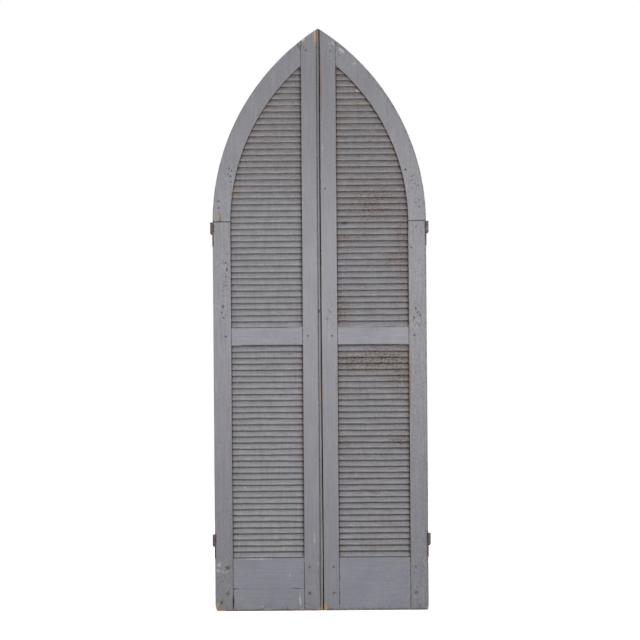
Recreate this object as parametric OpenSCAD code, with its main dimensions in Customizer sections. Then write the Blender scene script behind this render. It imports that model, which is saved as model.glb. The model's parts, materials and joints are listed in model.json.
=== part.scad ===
// Pair of arch-topped louvered doors, hung on lift-off butt hinges.
// Millimetres. X runs across the pair, the front faces -Y and Z is up. The origin lies at the
// middle of the bottom of the pair, hinge barrels included.
// Each piece is drawn for the left door. The right door mirrors it, with a tongue in place of
// the bead, which closes the gap up to the left door's bead.

/* [Pair] */
// Width of the closed pair over both hinge edges
pair_w = 886; // [800:2:1000]
// Height of the springing line, where the arched edge starts
springing_h = 1612; // [1500:4:1800]
// Radius of the outer edge of the arch, struck from the springing line
arch_r = 952; // [880:4:1100]
// How much shorter the opening's radius is than that of an arch of even width
head_swell = 18; // [0:1:30]
// Thickness of the stiles, rails and heads
door_t = 32; // [30:1:44]
// Gap between the closed doors, in front of the tongue
gap_w = 5; // [4:0.5:8]

/* [Stiles and rails] */
// Width of the hinge stile, which the arched head carries round
stile_w = 74; // [70:1:95]
// Width of the flat of the meeting stile
meeting_w = 64; // [62:1:90]
// Height of the bottom rail
bottom_rail_h = 221; // [180:1:260]
// Height of the underside of the mid rail
mid_rail_z = 1104; // [1000:2:1200]
// Height of the mid rail itself
mid_rail_h = 72.5; // [60:0.5:100]
// Height of the joint under the arched head, above the springing line
head_joint_rise = 4; // [2:1:40]
// Open gap at the shoulder under the arched head
head_joint_gap = 2; // [0:0.5:3]

/* [Bead] */
// Width of the bead on the meeting edge of the left door
bead_w = 8; // [6:0.5:12]
// Width of the quirk beside the bead
quirk_w = 3; // [2:0.5:4]
// Depth of the quirk
quirk_d = 5; // [3:0.5:8]

/* [Meeting edges] */
// Angle of the bevel that lets each meeting edge swing clear of the other
edge_bevel = 3.5; // [3:0.1:4]
// Distance behind the face of the right door's tongue, which closes the gap
tongue_back = 6; // [5:0.5:8]
// Play between the tongue and the bead
tongue_fit = 0.4; // [0.3:0.05:0.6]

/* [Slats] */
// Width of a slat, across its rounded edges
slat_w = 36; // [32:0.5:37]
// Thickness of a slat
slat_t = 7; // [5:0.5:8]
// Tilt of the slats from level, front edge low
slat_tilt = 45; // [42:1:60]
// Pitch of the slats in the upper panel
upper_pitch = 25.6; // [24:0.1:30]
// Pitch aimed at in the lower panel, evened out to fill it
lower_pitch = 25.2; // [24:0.1:30]
// Depth of the housings that hold the slats' ends
housing_d = 8; // [5:0.5:12]
// Play round a slat in its housing
slat_fit = 0.25; // [0.1:0.05:0.4]

/* [Joints] */
// Thickness of every tenon
tenon_t = 11; // [8:0.5:12]
// Length of the rail tenons
tenon_l = 50; // [40:1:55]
// Haunch between a tenon and the edge of its rail
haunch = 11; // [8:0.5:16]
// Haunch under the lowest tenon, which keeps its mortise clear of the foot of the stile
foot_haunch = 42; // [30:1:60]
// Gap between the two tenons of the bottom rail
tenon_split = 48; // [30:1:60]
// Width of the tenon at the top of the hinge stile
head_tenon_w = 38; // [30:1:42]
// Length of the tenon at the top of the hinge stile
head_tenon_l = 104; // [100:1:120]
// Height of the tenon between head and meeting stile
apex_tenon_h = 44; // [30:1:50]
// Length of the tenon between head and meeting stile
apex_tenon_l = 42; // [36:1:48]
// Play round a tenon in its mortise
tenon_fit = 0.15; // [0.1:0.05:0.3]
// Diameter of the pegs
peg_d = 9; // [6:0.5:10]
// Distance of a peg from the shoulder of its joint
peg_setback = 22; // [16:1:26]
// Distance of the pegs in the head from the outer edge of their tenon
head_peg_in = 13; // [8:1:20]
// Height above the joint of the lower peg in the head
head_peg_rise = 58; // [40:1:60]
// Distance between the two pegs in the head
head_peg_step = 28; // [16:1:30]
// Play round a peg in its hole
peg_fit = 0.1; // [0.05:0.05:0.2]

/* [Hinges] */
// Height of a hinge leaf
leaf_h = 100; // [90:1:120]
// Width of a hinge leaf across the edge of the door
leaf_w = 26; // [22:0.5:28]
// Thickness of a hinge leaf
leaf_t = 3; // [2.4:0.1:3.6]
// Depth to which a leaf is let into the edge of the door
let_in = 1.2; // [0.8:0.1:2]
// Play between a leaf and the end of its recess
recess_fit = 0.15; // [0.1:0.05:0.4]
// Height of a knuckle, in the upper half of its leaf
knuckle_h = 47; // [40:1:50]
// Outside diameter of a knuckle
knuckle_d = 12; // [11:0.5:13]
// Distance of the hinge axis outside the edge of the door
axis_out = 4; // [3:0.5:5]
// Distance of the hinge axis in front of the face of the door
axis_front = 5.5; // [5:0.5:7]
// Distance of the upper hinge below the joint under the head
upper_hinge_drop = 2; // [1:0.5:60]
// Distance of the lower hinge above the bottom of the door
lower_hinge_z = 220; // [210:1:280]
// Diameter of a hinge pin
pin_d = 7; // [5:0.5:7.5]
// Play of a pin in its knuckle, on the radius
pin_fit = 0.06; // [0.03:0.01:0.09]
// Play above the top of a pin, under the closed top of its knuckle
pin_end_play = 0.3; // [0.2:0.1:0.8]
// Thickness of the closed top of a knuckle
knuckle_cap = 4; // [3:0.5:6]
// Room that the lower half of a leaf leaves round the mate's knuckle
mate_room = 1; // [0.5:0.1:2]
// Shoulder between a pin and its free lower end, on the radius
spigot_shoulder = 0.5; // [0.3:0.1:1]
// Length of the free lower end of a pin
spigot_l = 5; // [4:0.5:12]

/* [Screws] */
// Diameter of a screw's shank
screw_d = 4; // [3:0.5:4.5]
// Length of a screw, head included
screw_l = 22; // [16:1:24]
// Diameter of a screw's countersunk head
screw_head_d = 7.6; // [7:0.1:8.4]
// Play round a screw
screw_fit = 0.1; // [0.05:0.05:0.2]
// Width of the slot in a screw's head
slot_w = 1.2; // [0.8:0.1:1.4]
// Depth of the slot in a screw's head
slot_d = 0.9; // [0.6:0.1:1.1]
// Distance of the outermost screws from the ends of the leaf
screw_end = 13; // [10:0.5:18]
// Distance of each row of screws from the long edge of the leaf
screw_edge = 7; // [6:0.5:8]

/* [Hidden] */
// The segments of arch edges, of slat noses and of turned parts
arch_fn = 360;
slat_fn = 24;
turned_fn = 48;
// A cut runs this far past the surface that it opens
over = 2;

// Across the door: its faces and middle, with half of the barrels' reach on each side of the origin
front_reach = axis_front + knuckle_d / 2;
face_y = (front_reach - door_t) / 2;
back_y = face_y + door_t;
mid_y = face_y + door_t / 2;
tenon_y = mid_y - tenon_t / 2;

// Along the pair, for the left door
edge_x = -pair_w / 2;
opening_x0 = edge_x + stile_w;
opening_x1 = -meeting_w - (quirk_w + bead_w + gap_w) / 2;
flat_x1 = opening_x1 + meeting_w;
bead_x1 = flat_x1 + quirk_w + bead_w;
bead_y = face_y + bead_w / 2;

// The arch
opening_r = arch_r - stile_w - head_swell;
head_z = springing_h + head_joint_rise;
// The height over x of an arch of radius r that springs from x0
function arch_z(x, x0, r) = springing_h + sqrt(r * r - (x0 + r - x) * (x0 + r - x));
apex_z = arch_z(0, edge_x, arch_r);
opening_top = arch_z(opening_x1, opening_x0, opening_r);

// Panels and slats. A slat's section is a bar with fully rounded edges
upper_z0 = mid_rail_z + mid_rail_h;
slat_rise = (slat_w - slat_t) * sin(slat_tilt) + slat_t;
lower_span = mid_rail_z - bottom_rail_h - slat_rise - 2 * slat_fit;
lower_gaps = round(lower_span / lower_pitch);
lower_z = [for (i = [0:lower_gaps])
    bottom_rail_h + slat_fit + slat_rise / 2 + i * lower_span / lower_gaps];
upper_first = upper_z0 + slat_fit + slat_rise / 2;
// The topmost slat, which fills the tip of the opening, shows at least this much below it
least_showing = 8;
upper_last = opening_top - least_showing + slat_rise / 2;
upper_z = [for (z = [upper_first:upper_pitch:upper_last]) z];
straight_z = [for (z = upper_z) if (z + slat_rise / 2 <= springing_h) z];
arched_z = [for (z = upper_z) if (z + slat_rise / 2 > springing_h) z];

// Tenons of the rails, as [low z, height]
mid_tenons = [[mid_rail_z + haunch, mid_rail_h - 2 * haunch]];
bottom_tenon_h = (bottom_rail_h - foot_haunch - haunch - tenon_split) / 2;
bottom_tenons = [
    [foot_haunch, bottom_tenon_h],
    [foot_haunch + bottom_tenon_h + tenon_split, bottom_tenon_h]
];
head_tenon_x = edge_x + (stile_w - housing_d - head_tenon_w) / 2;
head_peg_x = head_tenon_x + head_peg_in;
head_peg_z = [head_z + head_peg_rise, head_z + head_peg_rise + head_peg_step];
function tenon_middles(tenons) = [for (t = tenons) t[0] + t[1] / 2];
rail_peg_x = [opening_x0 - peg_setback, opening_x1 + peg_setback];
// The tenon at the apex lies midway between the topmost slat and the outer edge
slats_top = max(upper_z) + slat_rise / 2;
apex_tenon_z = (slats_top + arch_z(opening_x1, edge_x, arch_r) - apex_tenon_h) / 2;

// Hinges
axis_x = edge_x - axis_out;
axis_y = face_y - axis_front;
leaf_x0 = edge_x + let_in - leaf_t;
upper_leaf_z = head_z - upper_hinge_drop - leaf_h;
leaf_back_y = face_y + leaf_w;
spigot_d = pin_d - 2 * spigot_shoulder;
screw_zs = [for (i = [0:3]) screw_end + i * (leaf_h - 2 * screw_end) / 3];
screw_ys = [face_y + screw_edge, leaf_back_y - screw_edge];
head_depth = (screw_head_d - screw_d) / 2;
// Each screw of a leaf stopped with its slot turned this much more than the last
slot_turn = 35;

paint = "#94939b";
slat_paint = "#848284";
peg_paint = "#6f6c70";
iron = "#6a5650";
steel = "#57463f";

// A drawing in X and Z, made thick from y0 to y1
module slab(y0, y1) {
    translate([0, y1, 0]) rotate([90, 0, 0]) linear_extrude(y1 - y0) children();
}

// A drawing in Y and Z, made long from x0 to x1
module along_x(x0, x1) {
    translate([x0, 0, 0]) rotate([90, 0, 90]) linear_extrude(x1 - x0) children();
}

// A box between two corners
module block(low, high) {
    translate(low) cube(high - low);
}

// All that lies inside an arched line of radius r that springs from x0, in X and Z
module arch_area(x0, r) {
    translate([x0, 0]) square([2 * r, springing_h]);
    translate([x0 + r, springing_h]) intersection() {
        circle(r, $fn = arch_fn);
        translate([-r, 0]) square([2 * r, r]);
    }
}

// The section of a slat, or of its housing with the play round it, in Y and Z
module slat_section(fit) {
    core = slat_w - slat_t;
    rotate(slat_tilt) {
        square([core, slat_t + 2 * fit], center = true);
        for (side = [-1, 1]) {
            translate([side * core / 2, 0]) circle(d = slat_t + 2 * fit, $fn = slat_fn);
        }
    }
}

// Slats or housings at the heights given, from x0 to x1
module slat_bars(heights, x0, x1, fit) {
    along_x(x0, x1) {
        for (z = heights) {
            translate([mid_y, z]) slat_section(fit);
        }
    }
}

// A tenon's bar from x0 to x1, or its mortise with the play round it
module tenon_bar(x0, x1, tenon, fit) {
    block([x0, tenon_y - fit, tenon[0] - fit],
        [x1, tenon_y + tenon_t + fit, tenon[0] + tenon[1] + fit]);
}

// Pegs or their holes, right through the door
module peg_bars(xs, zs, fit, past) {
    for (x = xs, z = zs) {
        translate([x, back_y + past, z]) rotate([90, 0, 0])
            cylinder(h = door_t + 2 * past, d = peg_d + 2 * fit, $fn = turned_fn);
    }
}

module head_tenon(fit) {
    block([head_tenon_x - fit, tenon_y - fit, head_z - head_joint_gap - over],
        [head_tenon_x + head_tenon_w + fit, tenon_y + tenon_t + fit,
            head_z + head_tenon_l + fit]);
}

module apex_tenon(fit) {
    block([opening_x1 - over, tenon_y - fit, apex_tenon_z - fit],
        [opening_x1 + apex_tenon_l + fit, tenon_y + tenon_t + fit,
            apex_tenon_z + apex_tenon_h + fit]);
}

module apex_peg(fit, past) {
    peg_bars([opening_x1 + peg_setback], [apex_tenon_z + apex_tenon_h / 2], fit, past);
}

// The screws of a leaf, or their holes, driven into the edge of the door
module screw_bars(leaf_z, fit) {
    for (i = [0:3]) {
        translate([leaf_x0, screw_ys[i % 2], leaf_z + screw_zs[i]]) rotate([0, 90, 0]) {
            cylinder(h = head_depth, d1 = screw_head_d + 2 * fit, d2 = screw_d + 2 * fit,
                $fn = turned_fn);
            cylinder(h = screw_l + fit, d = screw_d + 2 * fit, $fn = turned_fn);
        }
    }
}

// The recess that a leaf is let into, with the holes of its screws
module leaf_recess(leaf_z) {
    block([edge_x - over, face_y - over, leaf_z - recess_fit],
        [edge_x + let_in, leaf_back_y + recess_fit, leaf_z + leaf_h + recess_fit]);
    screw_bars(leaf_z, screw_fit);
}

module hinge_stile() {
    color(paint) difference() {
        union() {
            slab(face_y, back_y) intersection() {
                translate([edge_x, 0]) square([stile_w, head_z - head_joint_gap]);
                arch_area(edge_x, arch_r);
            }
            difference() {
                head_tenon(0);
                block([edge_x, face_y, 0], [opening_x0, back_y, head_z - head_joint_gap]);
            }
        }
        slat_bars(concat(lower_z, upper_z), opening_x0 - housing_d, opening_x0 + over,
            slat_fit);
        for (tenon = concat(mid_tenons, bottom_tenons)) {
            tenon_bar(opening_x0 - tenon_l - tenon_fit, opening_x0 + over, tenon, tenon_fit);
        }
        peg_bars([rail_peg_x[0]], tenon_middles(concat(mid_tenons, bottom_tenons)), peg_fit,
            over);
        peg_bars([head_peg_x], head_peg_z, peg_fit, over);
        leaf_recess(upper_leaf_z);
        leaf_recess(lower_hinge_z);
    }
}

// The part of a meeting stile from x0 on, y0 to the back, with a bevelled edge that starts at x1
module bevelled_lip(x0, y0, x1) {
    polygon([[x0, y0], [x1, y0], [x1 - (back_y - y0) * tan(edge_bevel), back_y],
        [x0, back_y]]);
}

// The section of a meeting stile in X and Y, with the quirk and bead or else with the tongue
module meeting_section(beaded) {
    translate([opening_x1, face_y]) square([meeting_w, door_t]);
    if (beaded) {
        translate([flat_x1 - over, face_y + quirk_d])
            square([over + quirk_w + bead_w / 2, door_t - quirk_d]);
        bevelled_lip(flat_x1 + quirk_w, bead_y, bead_x1);
        translate([bead_x1 - bead_w / 2, bead_y]) circle(d = bead_w, $fn = turned_fn);
    } else {
        bevelled_lip(flat_x1 - over, face_y + tongue_back, flat_x1 + gap_w - tongue_fit);
    }
}

module meeting_stile(beaded) {
    color(paint) difference() {
        intersection() {
            linear_extrude(apex_z + over) meeting_section(beaded);
            slab(face_y - over, back_y + over) intersection() {
                arch_area(edge_x, arch_r);
                mirror([1, 0]) arch_area(edge_x, arch_r);
            }
        }
        slat_bars(concat(lower_z, upper_z), opening_x1 - over, opening_x1 + housing_d,
            slat_fit);
        for (tenon = concat(mid_tenons, bottom_tenons)) {
            tenon_bar(opening_x1 - over, opening_x1 + tenon_l + tenon_fit, tenon, tenon_fit);
        }
        peg_bars([rail_peg_x[1]], tenon_middles(concat(mid_tenons, bottom_tenons)), peg_fit,
            over);
        apex_tenon(tenon_fit);
        apex_peg(peg_fit, over);
    }
}

module arch_head() {
    color(paint) difference() {
        union() {
            slab(face_y, back_y) difference() {
                intersection() {
                    arch_area(edge_x, arch_r);
                    translate([edge_x, head_z])
                        square([opening_x1 - edge_x, apex_z - head_z]);
                }
                arch_area(opening_x0, opening_r);
            }
            difference() {
                apex_tenon(0);
                block([edge_x, face_y, 0], [opening_x1, back_y, apex_z]);
            }
        }
        intersection() {
            slat_bars(upper_z, edge_x, opening_x1, slat_fit);
            slab(face_y, back_y) arch_area(opening_x0 - housing_d, opening_r + housing_d);
        }
        head_tenon(tenon_fit);
        peg_bars([head_peg_x], head_peg_z, peg_fit, over);
        apex_peg(peg_fit, over);
    }
}

// A rail between the stiles, with its tenons and the peg holes in them
module rail(z0, height, tenons) {
    color(paint) difference() {
        union() {
            block([opening_x0, face_y, z0], [opening_x1, back_y, z0 + height]);
            for (tenon = tenons) {
                tenon_bar(opening_x0 - tenon_l, opening_x1 + tenon_l, tenon, 0);
            }
        }
        peg_bars(rail_peg_x, tenon_middles(tenons), peg_fit, over);
    }
}

module straight_slats(heights) {
    color(slat_paint) slat_bars(heights, opening_x0 - housing_d + slat_fit,
        opening_x1 + housing_d - slat_fit, 0);
}

// The slats whose outer ends are cut to the arch
module arched_slats() {
    color(slat_paint) intersection() {
        slat_bars(arched_z, edge_x, opening_x1 + housing_d - slat_fit, 0);
        slab(face_y, back_y) arch_area(opening_x0 - housing_d + slat_fit,
            opening_r + housing_d - slat_fit);
    }
}

module rail_pegs(tenons) {
    color(peg_paint) peg_bars(rail_peg_x, tenon_middles(tenons), 0, 0);
}

module head_pegs() {
    color(peg_paint) {
        peg_bars([head_peg_x], head_peg_z, 0, 0);
        apex_peg(0, 0);
    }
}

// A leaf with its knuckle on the upper half; the lower half is cut back round the mate's knuckle
module hinge_leaf(leaf_z) {
    knuckle_z = leaf_z + leaf_h - knuckle_h;
    color(iron) difference() {
        union() {
            block([leaf_x0, face_y, leaf_z],
                [leaf_x0 + leaf_t, leaf_back_y, leaf_z + leaf_h]);
            block([leaf_x0, axis_y, knuckle_z],
                [leaf_x0 + leaf_t, face_y + over, leaf_z + leaf_h]);
            translate([axis_x, axis_y, knuckle_z])
                cylinder(h = knuckle_h, d = knuckle_d, $fn = turned_fn);
        }
        translate([axis_x, axis_y, knuckle_z - over])
            cylinder(h = knuckle_h - knuckle_cap + over, d = pin_d + 2 * pin_fit,
                $fn = turned_fn);
        translate([axis_x, axis_y, leaf_z - over])
            cylinder(h = leaf_h - knuckle_h + over, r = knuckle_d / 2 + mate_room,
                $fn = turned_fn);
        screw_bars(leaf_z, screw_fit);
    }
}

module hinge_screws(leaf_z) {
    color(steel) difference() {
        screw_bars(leaf_z, 0);
        for (i = [0:3]) {
            translate([leaf_x0, screw_ys[i % 2], leaf_z + screw_zs[i]])
                rotate([slot_turn * i, 0, 0])
                    cube([2 * slot_d, screw_head_d + over, slot_w], center = true);
        }
    }
}

// The pin stays with the jamb. Its free lower end is what the jamb's half of the hinge grips
module hinge_pin(leaf_z) {
    knuckle_z = leaf_z + leaf_h - knuckle_h;
    color(steel) translate([axis_x, axis_y, knuckle_z]) {
        cylinder(h = knuckle_h - knuckle_cap - pin_end_play, d = pin_d, $fn = turned_fn);
        translate([0, 0, -spigot_l]) cylinder(h = spigot_l, d = spigot_d, $fn = turned_fn);
    }
}

module right() {
    mirror([1, 0, 0]) children();
}

hinge_stile();  // left_hinge_stile
meeting_stile(true);  // left_meeting_stile
arch_head();  // left_arch_head
rail(mid_rail_z, mid_rail_h, mid_tenons);  // left_mid_rail
rail(0, bottom_rail_h, bottom_tenons);  // left_bottom_rail
arched_slats();  // left_arch_slats
straight_slats(straight_z);  // left_upper_slats
straight_slats(lower_z);  // left_lower_slats
head_pegs();  // left_head_pegs
rail_pegs(mid_tenons);  // left_mid_rail_pegs
rail_pegs(bottom_tenons);  // left_bottom_rail_pegs
hinge_leaf(upper_leaf_z);  // left_upper_hinge_leaf
hinge_screws(upper_leaf_z);  // left_upper_hinge_screws
hinge_pin(upper_leaf_z);  // left_upper_hinge_pin
hinge_leaf(lower_hinge_z);  // left_lower_hinge_leaf
hinge_screws(lower_hinge_z);  // left_lower_hinge_screws
hinge_pin(lower_hinge_z);  // left_lower_hinge_pin
right() hinge_stile();  // right_hinge_stile
right() meeting_stile(false);  // right_meeting_stile
right() arch_head();  // right_arch_head
right() rail(mid_rail_z, mid_rail_h, mid_tenons);  // right_mid_rail
right() rail(0, bottom_rail_h, bottom_tenons);  // right_bottom_rail
right() arched_slats();  // right_arch_slats
right() straight_slats(straight_z);  // right_upper_slats
right() straight_slats(lower_z);  // right_lower_slats
right() head_pegs();  // right_head_pegs
right() rail_pegs(mid_tenons);  // right_mid_rail_pegs
right() rail_pegs(bottom_tenons);  // right_bottom_rail_pegs
right() hinge_leaf(upper_leaf_z);  // right_upper_hinge_leaf
right() hinge_screws(upper_leaf_z);  // right_upper_hinge_screws
right() hinge_pin(upper_leaf_z);  // right_upper_hinge_pin
right() hinge_leaf(lower_hinge_z);  // right_lower_hinge_leaf
right() hinge_screws(lower_hinge_z);  // right_lower_hinge_screws
right() hinge_pin(lower_hinge_z);  // right_lower_hinge_pin
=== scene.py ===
# %% [markdown]
# A pair of louvered doors in old grey paint
#
# Two arch-topped shutters close to one pointed arch. Each is a pegged frame of softwood with fixed
# sloping slats, and hangs on two iron hinges that let it be lifted off. This file dresses the fixed
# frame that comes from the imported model: every piece of wood is built again as a surface with
# rounded arrises, nicks and a slight waviness, because paint that has been scraped and brushed for
# a century never looks flat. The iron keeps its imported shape, with its sharp edges eased.

# %% Load the fixed frame
import json
from math import radians

import bmesh
import bpy
import numpy as np
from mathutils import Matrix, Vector

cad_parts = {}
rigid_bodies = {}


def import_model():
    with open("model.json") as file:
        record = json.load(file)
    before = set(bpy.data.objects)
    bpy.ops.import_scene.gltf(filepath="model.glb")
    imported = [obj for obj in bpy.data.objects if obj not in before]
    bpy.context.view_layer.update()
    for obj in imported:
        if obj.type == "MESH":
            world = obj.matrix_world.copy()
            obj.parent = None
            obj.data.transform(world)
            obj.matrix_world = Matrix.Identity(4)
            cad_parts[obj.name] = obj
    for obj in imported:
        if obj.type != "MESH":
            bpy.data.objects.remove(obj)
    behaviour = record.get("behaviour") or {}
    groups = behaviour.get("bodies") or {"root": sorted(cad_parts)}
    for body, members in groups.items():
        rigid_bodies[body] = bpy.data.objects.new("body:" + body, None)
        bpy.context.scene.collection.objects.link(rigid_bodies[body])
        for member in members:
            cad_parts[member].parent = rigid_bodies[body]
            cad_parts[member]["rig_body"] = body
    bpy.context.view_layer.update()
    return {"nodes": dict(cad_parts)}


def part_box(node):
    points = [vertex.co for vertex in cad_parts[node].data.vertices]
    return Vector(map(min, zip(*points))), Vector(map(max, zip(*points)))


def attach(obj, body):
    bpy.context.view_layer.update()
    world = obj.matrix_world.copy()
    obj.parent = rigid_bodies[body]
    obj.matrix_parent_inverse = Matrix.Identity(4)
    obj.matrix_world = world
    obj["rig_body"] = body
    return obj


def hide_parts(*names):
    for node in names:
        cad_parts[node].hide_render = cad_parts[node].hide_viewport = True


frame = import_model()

MM = 0.001
print("the frame has", len(frame["nodes"]), "nodes")

# %% [markdown]
# Camera
#
# The photograph was taken straight on, from far enough away that the slats look the same at the
# top and at the foot. A short lens close by would show the underside of the top slats and the
# upper side of the bottom ones, so the camera stands 12 m off with a long lens. The doors lean a
# little to the left in the picture, and the camera is turned by that angle.

# %% Camera
scene = bpy.context.scene
FIELD_WIDTH = 2656 * MM
CAMERA_AWAY = 12.0
EYE_HEIGHT = 1206 * MM
LEAN = radians(0.43)
SENSOR = 36.0
face_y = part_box("left_mid_rail")[0].y
back_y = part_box("left_mid_rail")[1].y
lens = bpy.data.cameras.new("long_lens")
lens.sensor_width = SENSOR
lens.lens = SENSOR * CAMERA_AWAY / FIELD_WIDTH
camera = bpy.data.objects.new("camera", lens)
camera.location = (0, face_y - CAMERA_AWAY, EYE_HEIGHT)
camera.rotation_euler = (radians(90), LEAN, 0)
scene.collection.objects.link(camera)
scene.camera = camera
print("the lens is", round(lens.lens, 1), "mm long")

# %% [markdown]
# Colours and nodes
#
# Colours are written as they look on a screen, as hex values, and one function turns them to the
# linear values that a shader works in. Another adds a node, sets what it is given and links what
# is a socket, and the two nodes that come up most have short names of their own.


# %% Colours and nodes
def linear(hex_colour):
    """The linear colour of an sRGB hex value: a power curve with a short straight foot."""
    srgb = np.array([int(hex_colour[i:i + 2], 16) / 255 for i in (1, 3, 5)])
    curved = np.where(srgb <= 0.04045, srgb / 12.92, ((srgb + 0.055) / 1.055) ** 2.4)
    return (*curved.tolist(), 1.0)


def feed(tree, node, inputs):
    """Gives a node's inputs their values, or links them where a socket is given."""
    for key, value in inputs.items():
        if isinstance(value, bpy.types.NodeSocket):
            tree.links.new(value, node.inputs[key])
        else:
            node.inputs[key].default_value = value


def add(tree, kind, settings, inputs):
    """Adds one node. Settings are its properties. Inputs are values, or sockets to link from."""
    node = tree.nodes.new(kind)
    for name, value in settings.items():
        setattr(node, name, value)
    feed(tree, node, inputs)
    return node


def calc(tree, operation, *values):
    """The result of a math node, named by its operation, on these values or sockets."""
    return add(tree, "ShaderNodeMath", {"operation": operation}, dict(enumerate(values))).outputs[0]


def ranged(tree, value, low, high, to_low=0.0, to_high=1.0):
    """The value carried in a straight line from one range to another, and held at its ends."""
    return add(tree, "ShaderNodeMapRange", {},
               {"Value": value, "From Min": low, "From Max": high, "To Min": to_low,
                "To Max": to_high}).outputs[0]


# %% [markdown]
# Floor, background and light
#
# The photograph has a plain white background. The world is white only to rays that come from the
# camera, off a polished surface or through glass, and dimmer to the ones that light the wood, so it
# can't wash the paint out. The floor adds a glow of its own for the camera in the same way and
# still takes the doors' shadow. A large soft lamp stands in front, above and to the right: it
# draws the dark line under the nose of every slat and along the right end of each row. A weak one,
# lower and to the left, keeps those lines from going black. The third stands behind the doors for
# the views from there, well off the floor, so that it leaves no bright patch on it.

# %% World
WORLD_FILL = 0.30
world = bpy.data.worlds.new("studio")
world.use_nodes = True
tree = world.node_tree
tree.nodes.clear()
rays = add(tree, "ShaderNodeLightPath", {}, {})
seen = calc(tree, "MAXIMUM", rays.outputs["Is Camera Ray"], rays.outputs["Is Glossy Ray"])
seen = calc(tree, "MAXIMUM", seen, rays.outputs["Is Transmission Ray"])
fill = add(tree, "ShaderNodeBackground", {}, {"Color": linear("#ffffff"), "Strength": WORLD_FILL})
white = add(tree, "ShaderNodeBackground", {}, {"Color": linear("#ffffff"), "Strength": 1.0})
mixed = add(tree, "ShaderNodeMixShader", {}, {0: seen, 1: fill.outputs[0], 2: white.outputs[0]})
add(tree, "ShaderNodeOutputWorld", {}, {"Surface": mixed.outputs[0]})
scene.world = world
scene.view_settings.view_transform = "Standard"

# %% Floor
FLOOR_HALF = 9.0
FLOOR_GLOW = 0.82
floor_paint = bpy.data.materials.new("pale_floor")
floor_paint.use_nodes = True
tree = floor_paint.node_tree
tree.nodes.clear()
rays = add(tree, "ShaderNodeLightPath", {}, {})
matt = add(tree, "ShaderNodeBsdfDiffuse", {}, {"Color": linear("#e6e6e4")})
glow = add(tree, "ShaderNodeEmission", {}, {"Color": linear("#ffffff"), "Strength": FLOOR_GLOW})
lit = add(tree, "ShaderNodeAddShader", {}, {0: matt.outputs[0], 1: glow.outputs[0]})
mixed = add(tree, "ShaderNodeMixShader", {},
            {0: rays.outputs["Is Camera Ray"], 1: matt.outputs[0], 2: lit.outputs[0]})
add(tree, "ShaderNodeOutputMaterial", {}, {"Surface": mixed.outputs[0]})
floor_mesh = bpy.data.meshes.new("floor")
corners = [(x * FLOOR_HALF, y * FLOOR_HALF, 0) for x, y in ((-1, -1), (1, -1), (1, 1), (-1, 1))]
floor_mesh.from_pydata(corners, [], [(0, 1, 2, 3)])
floor_mesh.materials.append(floor_paint)
floor = bpy.data.objects.new("floor", floor_mesh)
scene.collection.objects.link(floor)

# %% Lamps
LAMPS = {
    # name: place, the point that it faces, side of its square, power in watts
    "front_lamp": ((1.1, -4.6, 2.75), (0, 0, 1.15), 1.3, 122),
    "low_lamp": ((-0.5, -4.2, 1.0), (0, 0, 1.1), 1.6, 25),
    "rear_lamp": ((-1.6, 4.4, 2.3), (0, 0, 1.2), 1.5, 95),
}
for name, (place, aim, side, power) in LAMPS.items():
    lamp = bpy.data.lights.new(name, "AREA")
    lamp.size = side
    lamp.energy = power
    lamp_object = bpy.data.objects.new(name, lamp)
    lamp_object.location = place
    lamp_object.rotation_euler = (Vector(aim) - Vector(place)).to_track_quat("-Z", "Y").to_euler()
    lamp_object.visible_camera = False       # or it would shine past the doors' edges and eat them
    scene.collection.objects.link(lamp_object)
    print(name, "has", power, "W")

# %% [markdown]
# Old oil paint on softwood
#
# The frame is pine under many coats of grey linseed oil paint, put on with a brush along the grain
# and chalked by the weather. To the eye that gives a matt blue grey with long soft streaks, cloudy
# patches where the last coat has worn thinner, dark flecks where it has come off to the grain, and
# brown wood along arrises that hands and knives have rubbed. Paint could be an image, but then
# every piece would need its own unwrapping. Noise in the wood's own coordinates runs unbroken over
# edges and can't repeat, so each layer is one noise, mostly stretched along the grain, over the
# last one, and a material reads as the list of its layers.


# %% Layers of paint
def new_paint(name):
    """A new material, with its node tree and its shader."""
    material = bpy.data.materials.new(name)
    material.use_nodes = True
    return material, material.node_tree, material.node_tree.nodes["Principled BSDF"]


def stretched(tree, scale, turn=(0, 0, 0)):
    """Object coordinates turned and scaled: patterns grow long where the scale is small."""
    place = add(tree, "ShaderNodeTexCoord", {}, {})
    return add(tree, "ShaderNodeMapping", {},
               {"Vector": place.outputs["Object"], "Rotation": turn, "Scale": scale}).outputs[0]


def masked(tree, name):
    """The value of one of the piece's own attributes."""
    return add(tree, "ShaderNodeAttribute", {"attribute_name": name}, {}).outputs["Fac"]


def by_height(tree, none, full):
    """A mask that rises from 0 at one height to 1 at another, in metres above the floor."""
    place = add(tree, "ShaderNodeTexCoord", {}, {})
    height = add(tree, "ShaderNodeSeparateXYZ", {}, {0: place.outputs["Object"]}).outputs["Z"]
    return ranged(tree, height, none, full)


def times(tree, mask, other):
    """Both masks at once: their product."""
    return calc(tree, "MULTIPLY", mask, other)


def mottle(tree, where, size, low, high, detail=3.0):
    """A mask of random patches, each about size across. It rises from 0 to 1 while the noise goes
    from low to high, so a low that is over high picks the valleys of the noise."""
    noise = add(tree, "ShaderNodeTexNoise", {},
                {"Vector": where, "Scale": 1 / size, "Detail": detail, "Roughness": 0.6})
    return ranged(tree, noise.outputs[0], low, high)


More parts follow.
